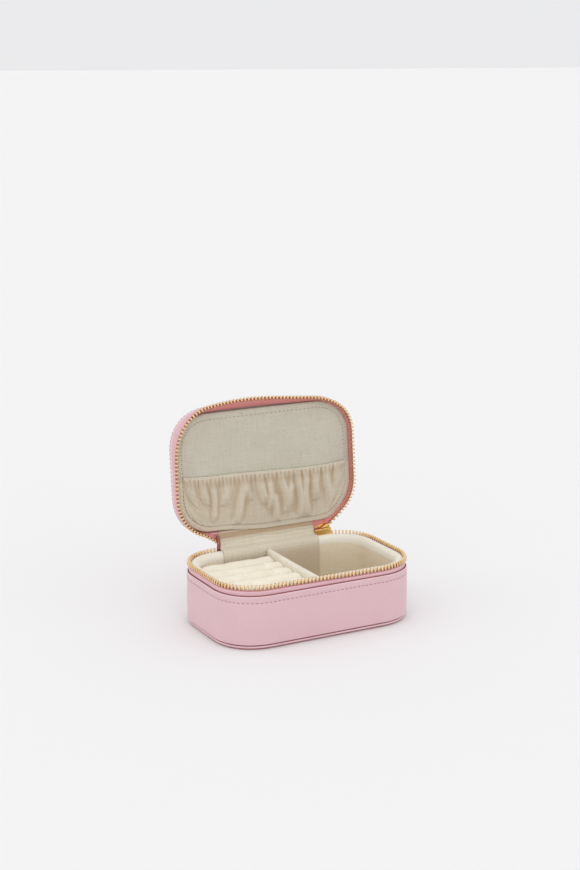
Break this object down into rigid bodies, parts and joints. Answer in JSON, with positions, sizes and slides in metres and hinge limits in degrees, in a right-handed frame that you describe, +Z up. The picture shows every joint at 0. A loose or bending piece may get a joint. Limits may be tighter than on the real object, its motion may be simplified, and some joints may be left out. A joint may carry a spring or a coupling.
{
  "type": "travel jewelry case",
  "caption": "Small zip-round travel jewelry case: rounded leather-covered base with padded tray, divider and ring rolls, and a soft-hinged lid with a gathered pocket.",
  "frame": {"origin": "centre of the base plate's underside", "axes": "+Z up, +Y to the hinge side, +X to the right seen from the front; the case stands on the plane Z = 0"},
  "size_m": [0.12, 0.0892, 0.1191],
  "materials": {
    "pink_leather": "smooth fine-grained pink leather",
    "pink_tape": "woven pink zip tape",
    "grey_board": "pressed fibre board, hidden",
    "cream_velvet": "short-pile cream velvet",
    "linen": "plain-weave natural linen",
    "foam": "foam under the cloth, hidden",
    "gold_metal": "polished gold-coloured metal",
    "white_elastic": "woven elastic, hidden"
  },
  "bodies": {
    "base": {"base_plate": "pink_leather", "base_sleeve": "pink_leather", "base_wall_board": "grey_board", "base_zip_tape": "pink_tape", "base_zip_teeth": "gold_metal", "tray_wall": "cream_velvet", "tray_floor": "linen", "tray_divider": "cream_velvet", "ring_bed": "foam", "ring_roll_1": "cream_velvet", "ring_roll_2": "cream_velvet", "ring_roll_3": "cream_velvet", "ring_roll_4": "cream_velvet", "ring_roll_5": "cream_velvet", "hinge_leather": "pink_leather", "hinge_lining": "linen", "slider_body": "gold_metal", "slider_bridge": "gold_metal"},
    "lid": {"lid_cover": "pink_leather", "lid_lining_panel": "linen", "lid_board": "grey_board", "lid_foam": "foam", "lid_zip_tape": "pink_tape", "lid_zip_teeth": "gold_metal", "lid_pocket": "linen", "pocket_elastic": "white_elastic"},
    "ring": {"pull_ring": "gold_metal"},
    "pull": {"pull_tab": "gold_metal"}
  },
  "joints": [
    {"name": "lid_hinge", "type": "hinge", "parent": "base", "child": "lid", "pos_m": [0, 0.0391, 0.0416], "axis": [1, 0, 0], "range_deg": [0, 95]},
    {"name": "ring_swing", "type": "hinge", "parent": "base", "child": "ring", "pos_m": [0.03705, 0.042, 0.03725], "axis": [1, 0, 0], "range_deg": [-4, 90]},
    {"name": "pull_swing", "type": "hinge", "parent": "ring", "child": "pull", "pos_m": [0.03705, 0.042, 0.03055], "axis": [0, 1, 0], "range_deg": [-35, 35]}
  ]
}
